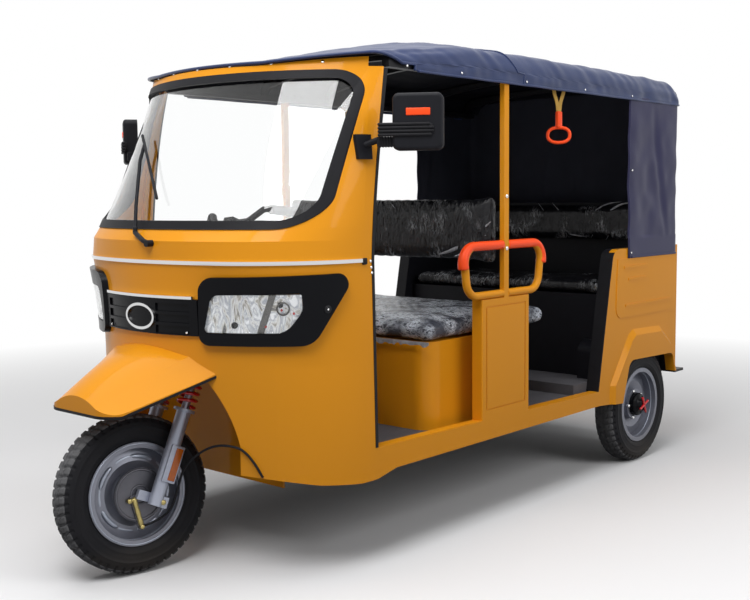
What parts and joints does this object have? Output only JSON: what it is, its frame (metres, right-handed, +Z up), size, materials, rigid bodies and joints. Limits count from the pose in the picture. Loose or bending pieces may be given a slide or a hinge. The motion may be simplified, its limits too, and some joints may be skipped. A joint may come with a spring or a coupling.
{
  "type": "auto rickshaw",
  "caption": "Three-wheeled auto rickshaw with an open-sided cabin, bench seats, a cloth canopy, a steered front wheel and a rear axle.",
  "frame": {"origin": "middle of the overall length and width, on the ground", "axes": "-Y is forwards, +X is the vehicle's left, +Z is up"},
  "size_m": [1.6766, 3.0696, 1.8258],
  "materials": {
    "yellow_paint": "gloss",
    "clear_glass": "clear",
    "black_rubber": "matt",
    "orange_plastic": "satin",
    "floor_rubber": "ribbed",
    "cast_metal": "matt",
    "black_vinyl": "film wrapped",
    "black_plastic": "matt",
    "red_plastic": "gloss",
    "navy_fabric": "coated cloth",
    "black_steel": "satin",
    "chrome": "polished",
    "black_gloss": "gloss",
    "grey_plastic": "grained",
    "silver_paint": "satin",
    "red_paint": "gloss",
    "dark_steel": "machined",
    "tyre": "treaded"
  },
  "bodies": {
    "body": {"cowl": "yellow_paint", "windshield_frame": "yellow_paint", "wheel_well": "yellow_paint", "windshield_glass": "clear_glass", "windshield_seal": "black_rubber", "door_posts": "yellow_paint", "side_sills": "yellow_paint", "side_guards": "yellow_paint", "grab_loops": "yellow_paint", "grab_covers": "orange_plastic", "floor_pan": "floor_rubber", "seat_box": "yellow_paint", "engine_block": "cast_metal", "bench_cushion": "black_vinyl", "shared_backrest": "black_vinyl", "rear_cushion": "black_vinyl", "rear_quarters": "yellow_paint", "quarter_lining": "black_plastic", "rear_bench": "black_plastic", "rear_panel": "yellow_paint", "tail_lamps": "red_plastic", "rear_backrest": "black_vinyl", "rear_bulkhead": "black_plastic", "canopy": "navy_fabric", "roof_frame": "black_steel", "front_fender": "yellow_paint", "edge_rubber": "black_rubber", "chrome_trim": "chrome", "lamp_mask": "black_gloss", "headlamp_lenses": "clear_glass", "headlamp_reflectors": "chrome", "dashboard": "grey_plastic", "hand_straps": "orange_plastic", "mirrors": "black_plastic", "wiper": "black_plastic", "chassis_frame": "black_steel", "rear_axle": "black_steel"},
    "steering": {"fork": "silver_paint", "fork_springs": "red_paint", "brake_plate": "dark_steel", "handlebar": "black_steel", "brake_cable": "black_rubber"},
    "front_wheel": {"front_tyre": "tyre", "front_rim": "silver_paint"},
    "rear_wheel_left": {"rear_tyre_left": "tyre", "rear_rim_left": "silver_paint"},
    "rear_wheel_right": {"rear_tyre_right": "tyre", "rear_rim_right": "silver_paint"}
  },
  "joints": [
    {"name": "steer", "type": "hinge", "parent": "body", "child": "steering", "pos_m": [0, -1.2113, 0.26365], "axis": [0, 0.4067, 0.9135], "range_deg": [-29, 51], "deforming": ["brake_cable"]},
    {"name": "front_wheel_spin", "type": "hinge", "parent": "steering", "child": "front_wheel", "pos_m": [-0.01081, -1.27235, 0.26323], "axis": [0.9816, -0.1743, 0.0776], "continuous": true},
    {"name": "rear_wheel_left_spin", "type": "hinge", "parent": "body", "child": "rear_wheel_left", "pos_m": [0.536, 1.1317, 0.262], "axis": [1, 0, 0], "continuous": true},
    {"name": "rear_wheel_right_spin", "type": "hinge", "parent": "body", "child": "rear_wheel_right", "pos_m": [-0.536, 1.1317, 0.262], "axis": [1, 0, 0], "continuous": true}
  ]
}
